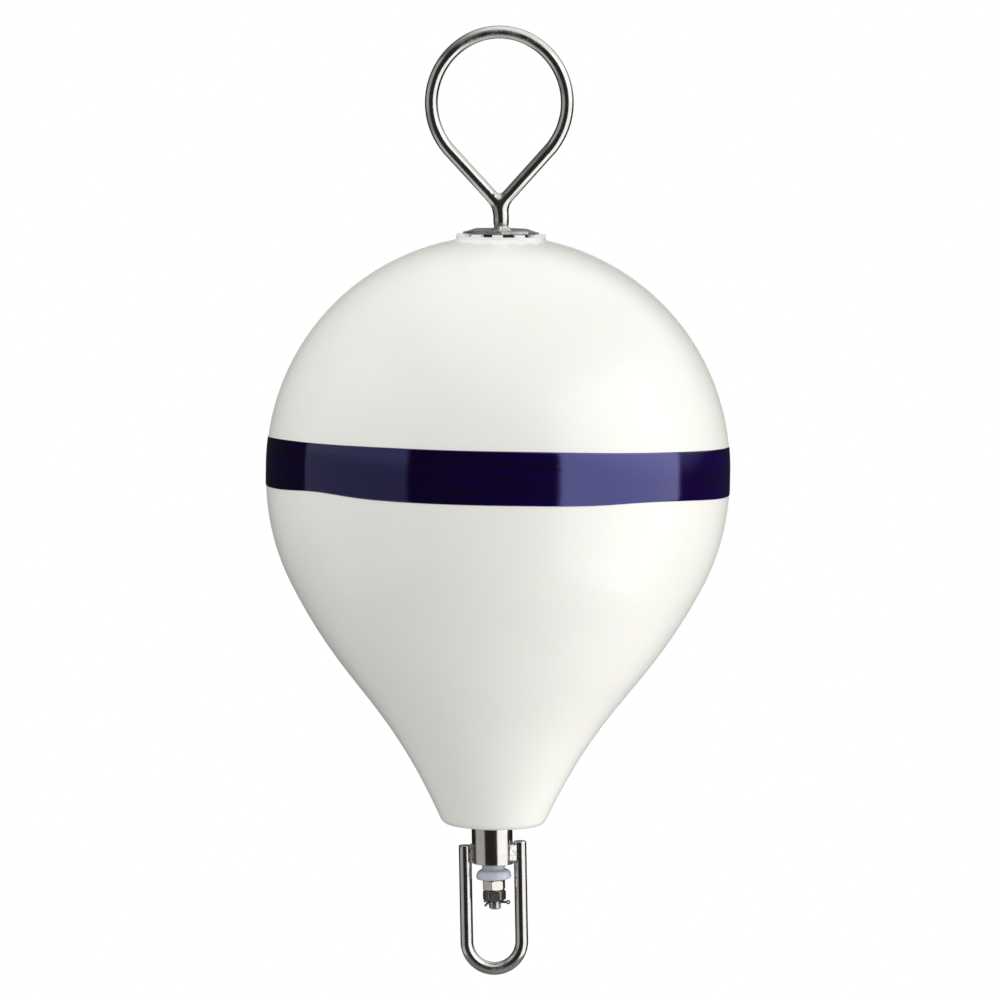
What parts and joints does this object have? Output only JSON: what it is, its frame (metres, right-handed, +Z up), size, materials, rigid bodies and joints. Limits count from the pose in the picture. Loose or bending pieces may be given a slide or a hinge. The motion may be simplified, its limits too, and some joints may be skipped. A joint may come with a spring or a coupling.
{
  "type": "mooring buoy",
  "caption": "Pear-shaped white mooring buoy on a steel through rod, with a pickup loop on top, a navy girth band and a mooring bail that swivels below.",
  "frame": {"origin": "on the through rod's axis, at the height of the bail's lowest point", "axes": "+Z up along the through rod towards the pickup loop; the loop and the bail lie in the XZ plane; -Y faces the viewer of the picture"},
  "size_m": [0.4582, 0.4582, 0.9398],
  "materials": {
    "polished_bar": "polished stainless round bar with fine drawn lines",
    "plate_steel": "dull rolled stainless plate with rough cut edges",
    "weld_metal": "rippled weld bead",
    "turned_steel": "turned stainless, satin to bright",
    "nut_steel": "bright stainless nut",
    "dark_nut_steel": "darker stainless nut",
    "pin_steel": "drawn stainless wire",
    "white_vinyl": "thick moulded off-white vinyl, glossy",
    "navy_tape": "glossy dark navy adhesive tape",
    "tube_plastic": "rigid plastic tube",
    "black_plastic": "black moulded bush",
    "valve_plastic": "white moulded valve",
    "nylon": "translucent bluish white nylon"
  },
  "bodies": {
    "rod": {"ring_rod": "polished_bar", "loop_weld": "weld_metal", "top_plate": "plate_steel", "plate_weld": "weld_metal", "lock_nut": "nut_steel", "end_nut": "dark_nut_steel", "split_pin": "pin_steel"},
    "float": {"shell": "white_vinyl", "centre_tube": "tube_plastic", "top_bush": "black_plastic", "bottom_bush": "black_plastic", "girth_tape": "navy_tape", "valve_body": "valve_plastic", "valve_plug": "valve_plastic"},
    "swivel": {"sleeve": "turned_steel", "bail": "polished_bar", "bail_weld_left": "weld_metal", "bail_weld_right": "weld_metal", "swivel_bush": "nylon"}
  },
  "joints": [
    {"name": "float_spin", "type": "hinge", "parent": "rod", "child": "float", "pos_m": [0, 0, 0.44], "axis": [0, 0, 1], "continuous": true},
    {"name": "swivel_spin", "type": "hinge", "parent": "rod", "child": "swivel", "pos_m": [0, 0, 0.12], "axis": [0, 0, 1], "continuous": true}
  ]
}
